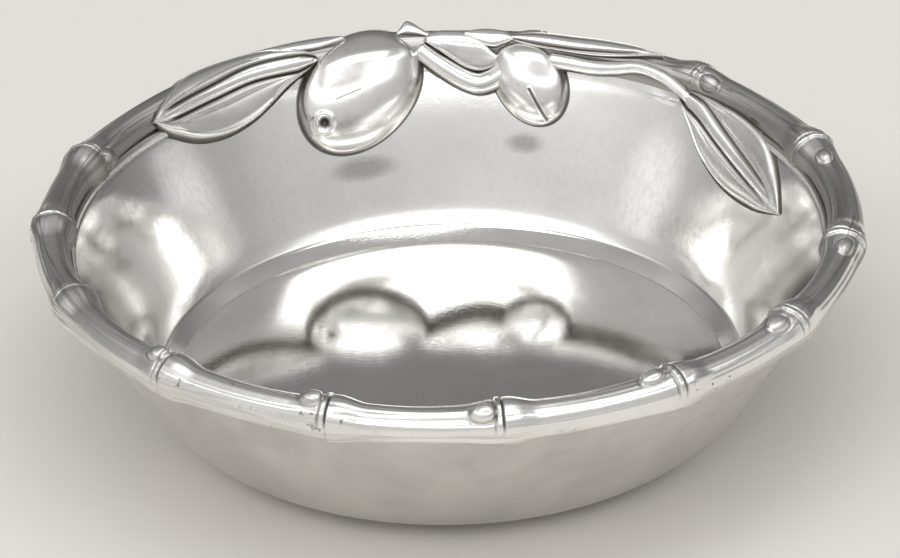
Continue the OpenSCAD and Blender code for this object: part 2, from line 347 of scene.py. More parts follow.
def curve(places, x):
    """Height at x of a smooth curve through places in order of x, and 0 beyond them."""
    last = len(places) - 1
    if not places[0].x <= x < places[last].x:
        return 0
    i = max(j for j in range(last) if places[j].x <= x)
    low, high = places[i], places[i + 1]
    u = (x - low.x) / (high.x - low.x)
    leave, arrive = (places[min(j + 1, last)] - places[max(j - 1, 0)] for j in (i, i + 1))
    bend = (1 - u) * leave.y / leave.x - u * arrive.y / arrive.x
    return mix(low.y, high.y, u * u * (3 - 2 * u)) + u * (1 - u) * (high.x - low.x) * bend


def off_line(point, first, last):
    """Distance of a point from the line between two others."""
    line = last - first
    t = 0
    if line.length > 0:
        t = min(max((point - first).dot(line) / line.length_squared, 0), 1)
    return (point - first - t * line).length


def swing_round(section, bearing):
    """Point of the half section, brought round to a bearing."""
    return Vector((section.x * math.cos(bearing), section.x * math.sin(bearing), section.y))


def points_in(geom):
    """Points among the results of a bmesh operation."""
    return [item for item in geom if isinstance(item, bmesh.types.BMVert)]


def close_ends(bm):
    """Fills the open ends of a tube."""
    bmesh.ops.holes_fill(bm, edges=[edge for edge in bm.edges if edge.is_boundary], sides=0)


class Wall:
    """Half section of the wall and the canes that stand on it, with the sizes of all pieces."""

    def __init__(self, scene):
        self.bowl = bowl = scene.bowl_sizes
        self.rim = rim = scene.bowl_rim
        self.sprig = sprig = scene.bowl_sprig
        self.rim_r = bowl.rim_d / 2
        self.cane_r = rim.cane_d / 2
        self.cane_out = rim.cane_out
        self.axis = Vector((self.rim_r, bowl.rim_h))
        self.crease = Vector((bowl.floor_d / 2 + bowl.band_w, bowl.floor_h + bowl.band_h))
        leg = self.axis - self.crease
        self.lean = math.atan2(leg.x, leg.y) - math.asin(rim.cane_out / leg.length)
        self.up = Vector((math.sin(self.lean), math.cos(self.lean)))
        self.inward = Vector((-math.cos(self.lean), math.sin(self.lean)))
        self.run = math.sqrt(leg.length_squared - rim.cane_out ** 2)
        self.lip_run = self.run - rim.lip_gap
        self.outer_start = self.crease - bowl.wall_t * self.inward
        self.bead = self.run - bowl.lip_drop
        self.swings = [Vector(place) * MM for place in WALL_SWING]
        self.foot_run = self.swings[0].x
        self.drape_r = rim.cane_out + sprig.leaf_edge + sprig.leaf_crown / 2

    def swing(self, run):
        """Lift of the wall's inner face off a straight line."""
        return curve(self.swings, run)

    def covered(self, bearing):
        """1 where the sprig covers the bead under the canes, 0 clear of it."""
        turn = math.degrees(bearing)
        return step(*BEAD_DIES, turn) * (1 - step(*BEAD_RETURNS, turn))

    def inner(self, run, lift=0):
        """Point of the section at a run up the wall's inner face, lifted off it."""
        return self.crease + run * self.up + (lift + self.swing(run)) * self.inward

    def seat(self, rise):
        """Lift of what carries the sprig: the wall, or the cane where that swells past it."""
        hidden = max(self.cane_r ** 2 - min(rise, 0) ** 2, 0)
        return max(math.sqrt(hidden) - self.cane_out, self.swing(self.run + rise))

    def flat(self, place):
        """Place of the tables, bearing and rise, in metres along the rim and up the wall."""
        return Vector((math.radians(place[0]) * self.rim_r, place[1] * MM))

    def drape(self, bearing, rise, lift):
        """Point at a bearing, a rise up the wall and over the rim, and a lift off that surface."""
        face = math.pi - self.lean - max(rise, 0) / self.drape_r
        out = (self.cane_out + lift) * Vector((math.cos(face), math.sin(face)))
        section = self.axis + min(rise, 0) * self.up + out
        return swing_round(section, bearing)

    def straight(self, bearing, rise, lift):
        """Point at a bearing, a rise and a lift off the wall's line drawn on straight above the rim."""
        section = self.axis + rise * self.up + (self.cane_out + lift) * self.inward
        return swing_round(section, bearing)

    def locate(self, point):
        """Section offset from the canes' centre line, the rise and the lift of a point."""
        offset = Vector((math.hypot(point.x, point.y), point.z)) - self.axis
        rise = offset.dot(self.up)
        lift = (offset.length if rise > 0 else offset.dot(self.inward)) - self.cane_out
        return offset, rise, lift

    def at_rim(self, bearing):
        """Stand on the canes' centre line: X outward, Y up, Z back along the cane."""
        return (Matrix.Rotation(bearing, 4, "Z")
                @ Matrix.Translation((self.axis.x, 0, self.axis.y))
                @ Matrix.Rotation(math.pi / 2, 4, "X"))


def add_piece(bm, name, finishes):
    """Turns a bmesh into a piece that stands for the solid of the same name."""
    bmesh.ops.remove_doubles(bm, verts=bm.verts, dist=WELD)
    bmesh.ops.recalc_face_normals(bm, faces=bm.faces)
    for face in bm.faces:
        face.smooth = True
    mesh = bpy.data.meshes.new(name)
    bm.to_mesh(mesh)
    bm.free()
    mesh.set_sharp_from_angle(angle=math.radians(60))
    for finish in finishes:
        mesh.materials.append(finish)
    piece = bpy.data.objects.new(name + "_dressed", mesh)
    bpy.context.collection.objects.link(piece)
    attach(piece, BODY)
    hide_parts(name)


def add_node(tree, kind, inputs=None, **settings):
    """New shader node: settings are its own, inputs are values or links for its sockets."""
    node = tree.nodes.new(kind)
    for key, value in settings.items():
        setattr(node, key, value)
    for key, value in (inputs or {}).items():
        if isinstance(value, bpy.types.NodeSocket):
            tree.links.new(value, node.inputs[key])
        else:
            node.inputs[key].default_value = value
    return node


def blend_colours(tree, factor, first, second):
    """Colour socket that goes from the first colour to the second one."""
    return add_node(tree, "ShaderNodeMix", {0: factor, 6: first, 7: second}, data_type="RGBA").outputs[2]


def spread(tree, value, low, high, to_low, to_high):
    """Socket that maps a stretch of values on to another one."""
    inputs = {"Value": value, "From Min": low, "From Max": high, "To Min": to_low, "To Max": to_high}
    return add_node(tree, "ShaderNodeMapRange", inputs).outputs["Result"]


def add_noise(tree, place, scale, detail, stretch=None):
    """Noise socket at a place, drawn out by a stretch of the three axes."""
    if stretch:
        inputs = {"Vector": place, "Scale": stretch}
        place = add_node(tree, "ShaderNodeMapping", inputs).outputs["Vector"]
    inputs = {"Vector": place, "Scale": scale, "Detail": detail}
    return add_node(tree, "ShaderNodeTexNoise", inputs).outputs["Fac"]


def calculate(tree, operation, *values):
    """Socket with what an operation makes of values or other sockets."""
    return add_node(tree, "ShaderNodeMath", dict(enumerate(values)), operation=operation).outputs[0]


def read_layer(tree, name, output="Fac"):
    """Socket that reads one of the layers of a piece's points."""
    return add_node(tree, "ShaderNodeAttribute", attribute_name=name).outputs[output]


def add_metal(name, tones, polish, bumps, grain, film, along=False):
    """Aluminium: tone and roughness wander, hollows hold tarnish, a layer of the piece paints shade and
    dark reflections, and bumps catch the light.

    Tones name the clean and the dull colour of the finish, polish its roughness. Bumps are pairs of
    scale and depth. Grain is the stretch of fine streaks, along the piece's own run if it has one,
    and film how dark they are.
    """
    found = bpy.data.materials.get(name)
    if found:
        return found
    look = bpy.context.scene.bowl_finish
    clean, dull = ((*getattr(look, tone), 1) for tone in tones)
    roughness = getattr(look, polish)
    material = bpy.data.materials.new(name)
    material.use_nodes = True
    tree = material.node_tree
    shader = tree.nodes["Principled BSDF"]
    shader.inputs["Metallic"].default_value = 1
    place = add_node(tree, "ShaderNodeTexCoord").outputs["Object"]
    drift = add_noise(tree, place, 45, 4)
    specks = add_noise(tree, place, 420, 5)
    streaks = add_noise(tree, read_layer(tree, "run", "Vector") if along else place, 1, 3, grain)

    dark = spread(tree, streaks, 0.46, 0.66, 0, film)
    if along:
        off = calculate(tree, "ABSOLUTE", calculate(tree, "SUBTRACT", streaks, 0.5))
        dark = calculate(tree, "MAXIMUM", dark, spread(tree, off, 0, 0.04, film, 0))
        # Streaks full on the back and side canes and faded on the front ones: partly painted shade
        dark = calculate(tree, "MULTIPLY", dark, read_layer(tree, "streaks_and_shade"))
    wear_and_sheen = spread(tree, drift, 0.5, 0.62, 0.1, 1)
    pits = calculate(tree, "MULTIPLY", spread(tree, specks, 0.63, 0.69, 0, film), wear_and_sheen)
    dark = calculate(tree, "MAXIMUM", dark, pits)
    # Tarnish and painted shade from the piece's own layer
    dark = calculate(tree, "MAXIMUM", dark, read_layer(tree, "patina_and_shade"))

    tone = blend_colours(tree, spread(tree, drift, 0.38, 0.68, 0, 1), clean, dull)
    tone = blend_colours(tree, dark, tone, (*look.tarnish_and_shade, 1))
    tree.links.new(tone, shader.inputs["Base Color"])
    rough = spread(tree, streaks, 0.3, 0.75, roughness * 0.8, roughness * 1.25)
    tree.links.new(calculate(tree, "MULTIPLY_ADD", dark, 0.3, rough), shader.inputs["Roughness"])
    normal = None
    for scale, depth in bumps:
        inputs = {"Height": add_noise(tree, place, scale, 2), "Strength": 1, "Distance": depth}
        if normal:
            inputs["Normal"] = normal
        normal = add_node(tree, "ShaderNodeBump", inputs).outputs["Normal"]
    tree.links.new(normal, shader.inputs["Normal"])
    return material


def polished_inside():
    """Mirror polish of the floor and its band."""
    return add_metal("polished_inside", ("bright", "handled"), "polish",
                     bumps=[(1600, 0.01 * MM)], grain=(700, 700, 700), film=0.04)


def buffed_wall():
    """Softer polish of the wall inside."""
    return add_metal("buffed_wall", ("bright", "handled"), "buffed",
                     bumps=[(1600, 0.01 * MM), (500, 0.01 * MM)], grain=(700, 700, 200), film=0.06)


def satin_outside():
    """Satin finish of the outside and the underside."""
    return add_metal("satin_outside", ("cast", "cast_dull"), "satin",
                     bumps=[(900, 0.004 * MM)], grain=(60, 60, 60), film=0.12)


def bamboo_metal():
    """Polished canes with streaks along their run."""
    return add_metal("bamboo_metal", ("bright", "handled"), "relief",
                     bumps=[(260, 0.08 * MM), (1200, 0.01 * MM)], grain=(8, 230, 230), film=0.8,
                     along=True)


def sprig_metal():
    """Polished relief of the olives, leaves and stems."""
    return add_metal("sprig_metal", ("bright", "handled"), "relief",
                     bumps=[(160, 0.05 * MM), (1200, 0.008 * MM)], grain=(300, 300, 300), film=0.1)


def patina_and_shade_layer(bm):
    """Layer of a bmesh's points for the tarnish and the painted shade, 0 to 1."""
    return bm.verts.layers.float.new("patina_and_shade")


def add_sprig(make, context, rows):
    """Makes a piece of the sprig for every row of a table."""
    wall = Wall(context.scene)
    for row in rows:
        add_piece(make(wall, row), row[0], (sprig_metal(),))
    return {"FINISHED"}


class BOWL_OT_shell(Operator):
    """Makes the bowl: foot, turned outside, wall, lip bead, band and floor"""

    bl_idname = "bowl.shell"
    bl_label = "Bowl Shell"

    def half_section(self, bm, wall):
        """Draws the half section, from the middle of the underside to the middle of the floor."""
        bowl = wall.bowl
        start = wall.outer_start
        turn_x = (start.x - (start.y - bowl.turn_r) * math.tan(wall.lean)
                  - bowl.turn_r / math.cos(wall.lean))
        recess_h = bowl.floor_h - bowl.wall_t
        recess_r = turn_x - bowl.foot_w
        floor_r = bowl.floor_d / 2
        bead_rows, wall_rows, floor_rows = 6, 36, 20
        chain = []

        def lay(x, z):
            """Adds the next point of the half section."""
            point = bm.verts.new((x, 0, z))
            if chain:
                bm.edges.new((chain[-1], point))
            chain.append(point)
            return point

        lay(0, recess_h)
        lay(recess_r - 2 * recess_h, recess_h)
        recess_top = lay(recess_r - recess_h, recess_h)
        foot_edge = lay(recess_r, 0)
        lay(turn_x, 0)
        turned = bmesh.ops.spin(bm, geom=[chain[-1]], cent=(turn_x, 0, bowl.turn_r), axis=(0, -1, 0),
                                angle=math.pi / 2 - wall.lean, steps=28)
        chain.append(points_in(turned["geom_last"])[0])
        for part in (0.3, 0.6, 0.9, 1):
            lay(*(start + part * wall.lip_run * wall.up))
        lay(*wall.inner(wall.lip_run))
        for row in range(bead_rows, -bead_rows - 1, -1):
            across = row / bead_rows
            stand = bowl.lip_h * math.sqrt(1 - across ** 2)
            lay(*wall.inner(wall.bead + bowl.lip_w / 2 * across, stand))
        for row in range(wall_rows - 1, 0, -1):
            lay(*wall.inner((wall.bead - bowl.lip_w / 2) * row / wall_rows))
        crease = lay(*wall.inner(wall.foot_run))
        band_foot = lay(floor_r, bowl.floor_h)
        for row in range(floor_rows - 2, -1, -1):
            lay(floor_r * row / floor_rows, bowl.floor_h)
        for corner, radius in ((recess_top, 1), (foot_edge, 0.6), (crease, 0.7), (band_foot, 0.35)):
            bmesh.ops.bevel(bm, geom=[corner], offset=radius * MM, offset_type="OFFSET", segments=10,
                            profile=0.5, affect="VERTICES", material=-1)

    def bead_stand(self, wall, spot):
        """How far a point of the bead stands off the wall, and 0 beside the bead."""
        _, rise, lift = wall.locate(spot)
        run = wall.run + rise
        if abs(run - wall.bead) >= wall.bowl.lip_w / 2:
            return 0
        return max(lift - wall.swing(run), 0)

    def tarnish_and_shade(self, wall, spot):
        """Darkening at a point: painted shade, partly tarnish, in the groove under the canes, and painted
        shade at the bead, in the corner at the wall's foot and low outside, with painted reflections in
        dark patches.
        """
        _, rise, lift = wall.locate(spot)
        run = wall.run + rise
        bearing = math.atan2(spot.y, spot.x)
        bare = 1 - wall.covered(bearing)
        # Painted shade, partly tarnish, in the groove between the bead and the canes, and painted shade
        # at the bead's foot
        groove = step(wall.bead + 0.6 * MM, wall.bead + 1.3 * MM, run)
        bead_foot = hump((run - wall.bead + wall.bowl.lip_w / 2) / (0.5 * MM))
        dark = [TARNISH_AND_SHADE["groove"] * groove, TARNISH_AND_SHADE["bead_foot"] * bead_foot * bare]
        outside = lift < -0.6 * wall.bowl.wall_t
        if outside:
            # Painted shade: the outside darker towards the bottom, where it reflects the table's shade
            # under the bowl
            dark.append(TARNISH_AND_SHADE["outside"] * (1 - step(-58 * MM, -14 * MM, rise)))
            return max(dark)
        # Painted shade on the bead under the canes
        if self.bead_stand(wall, spot) > 0:
            dark.append(TARNISH_AND_SHADE["bead"] * bare)
        # Painted shade in the crease at the wall's foot, on the left and right sides
        sides = step(35 * MM, 55 * MM, abs(spot.x))
        dark.append(TARNISH_AND_SHADE["corner"] * sides * hump((run - wall.foot_run) / MM))
        # Painted reflections: dark patches on the wall under the olives
        for place, wide, high in PAINTED_REFLECTIONS:
            gap = Vector((bearing * wall.rim_r, rise)) - wall.flat(place)
            away = math.hypot(gap.x / wide, gap.y / high) / MM
            dark.append(TARNISH_AND_SHADE["painted_reflection"] * (1 - step(0.4, 1.1, away)))
        return max(dark)

    def execute(self, context):
        wall = Wall(context.scene)
        bm = bmesh.new()
        self.half_section(bm, wall)
        bmesh.ops.spin(bm, geom=bm.verts[:] + bm.edges[:], cent=(0, 0, 0), axis=(0, 0, 1),
                       angle=math.tau, steps=256, use_merge=True)
        bmesh.ops.remove_doubles(bm, verts=bm.verts, dist=WELD)
        bmesh.ops.recalc_face_normals(bm, faces=bm.faces)

        patina_and_shade = patina_and_shade_layer(bm)
        broad, fine = 22, 55
        for point in bm.verts:
            point[patina_and_shade] = self.tarnish_and_shade(wall, point.co)
            bearing = math.atan2(point.co.y, point.co.x)
            hidden = wall.covered(bearing) * self.bead_stand(wall, point.co)
            point.co -= hidden * swing_round(wall.inward, bearing)
            if point.normal.z > 0.2:
                wave = noise.noise(point.co * broad) + 0.2 * noise.noise(point.co * fine)
                high = mix(wall.bowl.floor_wave, wall.bowl.wall_wave, 1 - point.normal.z)
                point.co += point.normal * wave * high
        polished, satin, buffed = range(3)
        for face in bm.faces:
            _, rise, _ = wall.locate(face.calc_center_median())
            face.material_index = satin
            if face.normal.z > 0:
                face.material_index = polished if rise < -wall.run else buffed
        add_piece(bm, "bowl_shell", (polished_inside(), satin_outside(), buffed_wall()))
        return {"FINISHED"}


def upper_side(angle):
    """1 on the top and the inner side of a cane, 0 on its outer side, by degrees up from outward."""
    turn = (angle + 90) % 360 - 90
    return step(-12, 34, turn) * (1 - step(225, 262, turn))


class BOWL_OT_rim_canes(Operator):
    """Makes the bamboo canes of the rim, each with its rings, swellings and bud"""

    bl_idname = "bowl.rim_canes"
    bl_label = "Rim Canes"

    def knob(self, rim, distance, angle):
        """Height over the plain cane after a joint: a seam, then a swelling that dies away."""
        full = mix(0.55, 1, upper_side(angle)) * (rim.knob_d - rim.cane_d) / 2
        swelling = full * hump(max(distance - rim.knob_full, 0) / rim.knob_after)
        seam = mix(0.15, 1, upper_side(angle)) * rim.seam_h * (1 - step(0, rim.seam_w, distance))
        return swelling - seam

    def ring(self, rim, distance, angle):
        """Height over the plain cane before a joint: a ring, a thin line and a low swelling."""
        shown = upper_side(angle)
        full = mix(0.4, 0.6, shown) * (rim.knob_d - rim.cane_d) / 2
        swelling = full * hump(max(distance - rim.ring_t, 0) / rim.knob_before)
        band = min(distance / (0.3 * MM), 1) * (1 - step(0.75 * rim.ring_t, 1.1 * rim.ring_t, distance))
        line = rim.line_h * hump((distance - 1.25 * rim.ring_t) / (0.3 * rim.ring_t))
        height = rim.ring_d / 2 - rim.cane_d / 2 - full
        return swelling + shown * (0.75 * height * band - line)

    def seam_tarnish(self, rim, after, before, angle):
        """Tarnish in the seam of a joint, in the line beside its ring, and in a notch on the outside."""
        shown = upper_side(angle)
        seam = TARNISH_AND_SHADE["seam"] * (1 - step(0.25 * MM, 0.8 * MM, after))
        line = TARNISH_AND_SHADE["ring_line"] * hump((before - 1.25 * rim.ring_t) / (0.35 * rim.ring_t))
        notch = hump((angle + 75) / 14) * (1 - step(0.4 * MM, 1.1 * MM, min(after, before)))
        return max(shown * seam, shown * line, notch)

    def ringed(self, joint, angle):
        """How much of a joint's collar there is at an angle round the cane."""
        low, high = joint[1]
        if joint[1] == ALL_ROUND:
            return 1
        return step(low - 8, low + 8, angle) * (1 - step(high - 8, high + 8, angle))

    def bud(self, wall, along, turn):
        """Height and tarnish of a bud and its moat, by the way along and round from its middle."""
        bud_d = wall.rim.bud_d
        away = math.hypot(along / BUD_LONG, turn * wall.cane_r) / (bud_d / 2)
        dome = math.sqrt(max(1 - away ** 2, 0))
        moat = hump((away - 1.15) / 0.3)
        return BUD_HIGH * bud_d * dome - 0.15 * MM * moat, TARNISH_AND_SHADE["moat"] * moat

    def tube(self, bm, wall, start, end):
        """Draws a plain cane between two bearings, with closer rows for the rings and the swellings."""
        circle = bmesh.ops.create_circle(bm, segments=96, radius=wall.cane_r, matrix=wall.at_rim(start))
        geom = circle["verts"] + bm.edges[:]
        ring, knob = 3 * MM / wall.rim_r, 13 * MM / wall.rim_r
        middle = end - start - 2 * (ring + knob)
        for turn, steps in ((ring, 18), (knob, 20), (middle, 16), (knob, 40), (ring, 18)):
            geom = bmesh.ops.spin(bm, geom=geom, cent=(0, 0, 0), axis=(0, 0, 1), angle=turn,
                                  steps=steps)["geom_last"]
        close_ends(bm)

    def cane(self, wall, k):
        """Makes one cane."""
        rim = wall.rim
        first, last = JOINTS[k], JOINTS[(k + 1) % len(JOINTS)]
        start = math.radians(first[0])
        end = math.radians(last[0] if last[0] > first[0] else last[0] + 360)
        bud = last[2]
        bm = bmesh.new()
        patina_and_shade = patina_and_shade_layer(bm)
        streaks_and_shade = bm.verts.layers.float.new("streaks_and_shade")
        run = bm.verts.layers.float_vector.new("run")
        self.tube(bm, wall, start, end)
        for point in bm.verts:
            offset, _, _ = wall.locate(point.co)
            bearing = math.atan2(point.co.y, point.co.x) % math.tau
            if bearing < start - 0.01:
                bearing += math.tau
            angle = math.atan2(offset.y, offset.x)
            degrees = math.degrees(angle)
            after, before = (bearing - start) * wall.rim_r, (end - bearing) * wall.rim_r
            has_first, has_last = self.ringed(first, degrees), self.ringed(last, degrees)
            swell = (has_first * self.knob(rim, after, degrees)
                     + has_last * self.ring(rim, before, degrees))
            tarnish_and_shade = max(has_first * self.seam_tarnish(rim, after, wall.rim_r, degrees),
                          has_last * self.seam_tarnish(rim, wall.rim_r, before, degrees))
            slow = Vector((after * 16, math.cos(angle) * 1.5, math.sin(angle) * 1.5 + 9 * k))
            ridges = Vector((after * 10, math.cos(angle) * 5, math.sin(angle) * 5 + 7 * k))
            wander = noise.noise(slow) + 0.5 * noise.noise(ridges)
            waist = rim.waist * hump((after - before) / (after + before))
            radius = wall.cane_r + swell - waist + rim.uneven * wander
            if bud:
                turn = (angle - math.radians(bud[1]) + math.pi) % math.tau - math.pi
                height, moat = self.bud(wall, bud[0] * MM - before, turn)
                radius += height
                tarnish_and_shade = max(tarnish_and_shade, moat)
            # Painted shade on the canes' underside, facing into the bowl
            inside = step(120, 152, degrees % 360) * (1 - step(215, 240, degrees % 360))
            # Canes at the back and the sides: tarnish streaks with painted shade on their upper side, and
            # the knobs kept clear of it as a painted highlight
            back_and_sides = 1 - step(0.03, 0.09, -point.co.y)
            wear_and_sheen = 1 - 0.85 * min(max(swell, 0) / MM, 1)
            shade = TARNISH_AND_SHADE["cane_tarnish_and_shade"] * back_and_sides * (1 + wander) * upper_side(degrees) * wear_and_sheen
            point[patina_and_shade] = min(max(tarnish_and_shade, TARNISH_AND_SHADE["cane_inside"] * inside, shade, 0), 1)
            # Streaks faded on the front canes: partly painted shade
            point[streaks_and_shade] = mix(0.35, 1, back_and_sides)
            point[run] = (bearing * wall.rim_r, offset.x, offset.y)
            section = wall.axis + radius * offset.normalized()
            point.co = swing_round(section, bearing)
        return bm

    def execute(self, context):
        wall = Wall(context.scene)
        for k in range(len(JOINTS)):
            add_piece(self.cane(wall, k), f"rim_cane_{k + 1:02d}", (bamboo_metal(),))
        return {"FINISHED"}


class BOWL_OT_olives(Operator):
    """Makes the two olives, domes laid over the wall and the rim, with their marks"""

    bl_idname = "bowl.olives"
    bl_label = "Olives"

    def sink(self, wall, mark, plan, patina_and_shade):
        """Sinks a mark into an olive, given the places of its points on the wall."""
        _, first, last, half, depth, lip = mark
        for point, place in plan.items():
            away = off_line(place, wall.flat(first), wall.flat(last)) / (half * MM)
            if away < 2:
                drop = depth * hump(away) - lip * hump((away - 1.3) / 0.6)
                dark = min(depth, TARNISH_AND_SHADE["mark"]) * (1 - step(0.45, 1.05, away))
                point[patina_and_shade] = max(point[patina_and_shade], dark)
                outward = point.normal if point.normal.y < 0 else -point.normal
                point.co -= outward * drop * MM

    def olive(self, wall, row):
        """Makes one olive from a ball that is laid out on the wall."""
        sprig = wall.sprig
        name, middle, turn = row
        size, width, height = (getattr(sprig, name + end) for end in ("_l", "_w", "_h"))
        centre = wall.flat(middle)
        lay = Matrix.Rotation(math.radians(turn), 2) @ Matrix(((width / 2, 0), (0, size / 2)))

        def dome(spot):
            """Point of the olive for a point of the unit ball."""
            place = centre + lay @ spot.xy
            foot = wall.swing(wall.run + place.y) - wall.cane_out * step(-3 * MM, 7 * MM, place.y)
            crown = math.sqrt(max(1 - (spot.xy.length / BRIM) ** 2, 0))
            lift = foot + sprig.brim_h + height * crown if spot.z > 0 else foot - sprig.bed
            return wall.straight(place.x / wall.rim_r, place.y, lift)

        def on_ball(place):
            """Point of the unit ball under a place of the wall."""
            flat = lay.inverted() @ (wall.flat(place) - centre)
            return Vector((flat.x, flat.y, math.sqrt(max(1 - flat.length_squared, 0))))

        bm = bmesh.new()
        patina_and_shade = patina_and_shade_layer(bm)
        bmesh.ops.create_uvsphere(bm, u_segments=144, v_segments=96, radius=1)
        marks = [mark for mark in MARKS if mark[0] == name]
        for _, first, last, half, _, _ in marks:
            first, last = on_ball(first), on_ball(last)
            for reach in (4, 3):
                wide = reach * half * MM / (width / 2)
                near = [edge for edge in bm.edges if off_line(edge.verts[0].co, first, last) < wide]
                new = bmesh.ops.subdivide_edges(bm, edges=near, cuts=1, use_grid_fill=True)
                for point in points_in(new["geom_inner"]):
                    point.co.normalize()
        plan = {}
        for point in bm.verts:
            # Painted shade, partly tarnish: the dark brim where the olive meets what carries it
            point[patina_and_shade] = TARNISH_AND_SHADE["brim"] * step(BRIM - 0.045, BRIM, point.co.xy.length)
            if point.co.z > 0:
                plan[point] = centre + lay @ point.co.xy
            point.co = dome(point.co)
        bm.normal_update()
        for mark in marks:
            self.sink(wall, mark, plan, patina_and_shade)
        return bm

    def execute(self, context):
        return add_sprig(self.olive, context, OLIVES)


class BOWL_OT_leaves(Operator):
    """Makes the leaves, draped over the wall and the rim, with ribs and grooves"""

    bl_idname = "bowl.leaves"
    bl_label = "Leaves"

    def widths(self, sprig, kind, half, t):
        """Widths of the rib, the groove, the blade and the bevel on one side of a leaf."""
        bevel = min(sprig.bevel_w, 0.36 * half)
        if kind == "smooth":
            return 0, 0, half - bevel, bevel
        rib = min(sprig.rib_w * mix(1, 0.7, t), 0.34 * half) * math.sqrt(max(1 - (t / 0.9) ** 8, 0))
        groove = min(sprig.groove_w, 0.25 * half)
        return rib, groove, half - rib - groove - bevel, bevel

    def top(self, wall, row, station, t, half, offset, rise):
        """Lift and darkening of a leaf's upper side, at a part t of its rib and an offset from it:
        tarnish in the grooves and painted shade, partly tarnish, along the outline.
        """
        sprig = wall.sprig
        name, kind, crown, rib = row[:4]
        across, height, tarnish_and_shade = station
        if kind == "ribbed" and across <= BLADE:
            ribbed = 1 - step(0.78, 0.92, t)
            height = mix(0.3, height, ribbed)
            tarnish_and_shade *= ribbed
        ends = step(0, 0.07, t) * (1 - step(0.975, 1, t))
        if name == "leaf_crest":
            ends = hump((t - 0.38) / (0.38 if t < 0.38 else 0.62))
            crown *= 1 - offset / max(half, 0.01 * MM)
        bold = mix(0.4, 1, min(half / (8 * MM), 1))
        thin = mix(1, 0.3, step(0.4, 1, t)) if rib[-1][1] < -10 else 1
        height = thin * (sprig.leaf_edge + (crown + bold * height) * MM) + wall.swing(wall.run + rise)
        seat = wall.seat(rise)
        bed = seat - sprig.bed
        lift = max(mix(bed, height, ends), bed)
        if BEVEL + 0.6 < across < EDGE:
            on_wall = 1 - step(-8 * MM, -5 * MM, rise)
            lift = max(lift, mix(bed, seat + sprig.skirt, on_wall))
        # Painted shade, partly tarnish: a dark outline where the leaf's edge comes down to what carries
        # it
        if across > BEVEL:
            outline = TARNISH_AND_SHADE["outline"] * (1 - step(0.9 * MM, 1.7 * MM, lift - bed))
            tarnish_and_shade = max(tarnish_and_shade, outline)
        return lift, tarnish_and_shade

    def leaf(self, wall, row):
        """Makes one leaf from a grid, closed underneath."""
        sprig = wall.sprig
        _, kind, _, rib, left, right = row
        section = LEAF_SECTIONS[kind]
        side_rows = len(section) - 1
        edges = [[wall.flat(place) for place in [rib[0], *side, rib[-1]]] for side in (left, right)]
        rib = [wall.flat(place) for place in rib]

        bm = bmesh.new()
        patina_and_shade = patina_and_shade_layer(bm)
        bmesh.ops.create_grid(bm, x_segments=96, y_segments=2 * side_rows, size=1)
        raised = bmesh.ops.extrude_face_region(bm, geom=bm.faces[:], use_keep_orig=True)
        upper = set(points_in(raised["geom"]))
        for point in bm.verts:
            t = (point.co.x + 1) / 2
            column = round(point.co.y * side_rows)
            station = section[abs(column)]
            middle = spline(rib, t)
            side = spline(edges[0 if column > 0 else 1], t) - middle
            half = side.length
            widths = self.widths(sprig, kind, half, t)
            offset = sum(min(max(station[0] - i, 0), 1) * width for i, width in enumerate(widths))
            place = middle + side.normalized() * offset
            lift = wall.seat(place.y) - sprig.bed - sprig.sole
            if point in upper:
                lift, point[patina_and_shade] = self.top(wall, row, station, t, half, offset, place.y)
            point.co = wall.drape(place.x / wall.rim_r, place.y, lift)
        return bm

    def execute(self, context):
        return add_sprig(self.leaf, context, LEAVES)


class BOWL_OT_stems(Operator):
    """Makes the stems that run between the olives and the leaves"""

    bl_idname = "bowl.stems"
    bl_label = "Stems"

    def stem(self, wall, row):
        """Makes one stem."""
        sprig = wall.sprig
        _, first_r, last_r, raise_by, places = row
        path = [wall.flat(place) for place in places]
        bm = bmesh.new()
        patina_and_shade = patina_and_shade_layer(bm)
        bmesh.ops.create_grid(bm, x_segments=96, y_segments=28, size=1)
        for point in bm.verts:
            t = (point.co.x + 1) / 2
            turn = math.pi * point.co.y
            ahead = spline(path, min(t + 0.01, 1)) - spline(path, max(t - 0.01, 0))
            across = Vector((-ahead.y, ahead.x)).normalized()
            ends = math.sqrt(max(1 - (1 - step(0, 0.06, t)) ** 2 - step(0.94, 1, t) ** 2, 0.04))
            radius = mix(first_r, last_r, t) * ends * MM
            place = spline(path, t) + across * radius * math.cos(turn)
            seat = wall.seat(place.y) - sprig.bed
            lift = raise_by * MM + radius * math.sin(turn)
            skin = max(1.2 * MM * ends * math.sin(turn), 0)
            side = math.cos(turn)
            # Painted shade along the stem's two sides where it meets what carries it, broader and darker
            # on its left
            point[patina_and_shade] = max(TARNISH_AND_SHADE["stem_left"] * step(0.7, 0.9, side),
                                TARNISH_AND_SHADE["stem_right"] * step(0.86, 0.97, -side))
            point.co = wall.drape(place.x / wall.rim_r, place.y, max(lift, seat + skin))
        bmesh.ops.remove_doubles(bm, verts=bm.verts, dist=WELD)
        close_ends(bm)
        return bm

    def execute(self, context):
        return add_sprig(self.stem, context, STEMS)


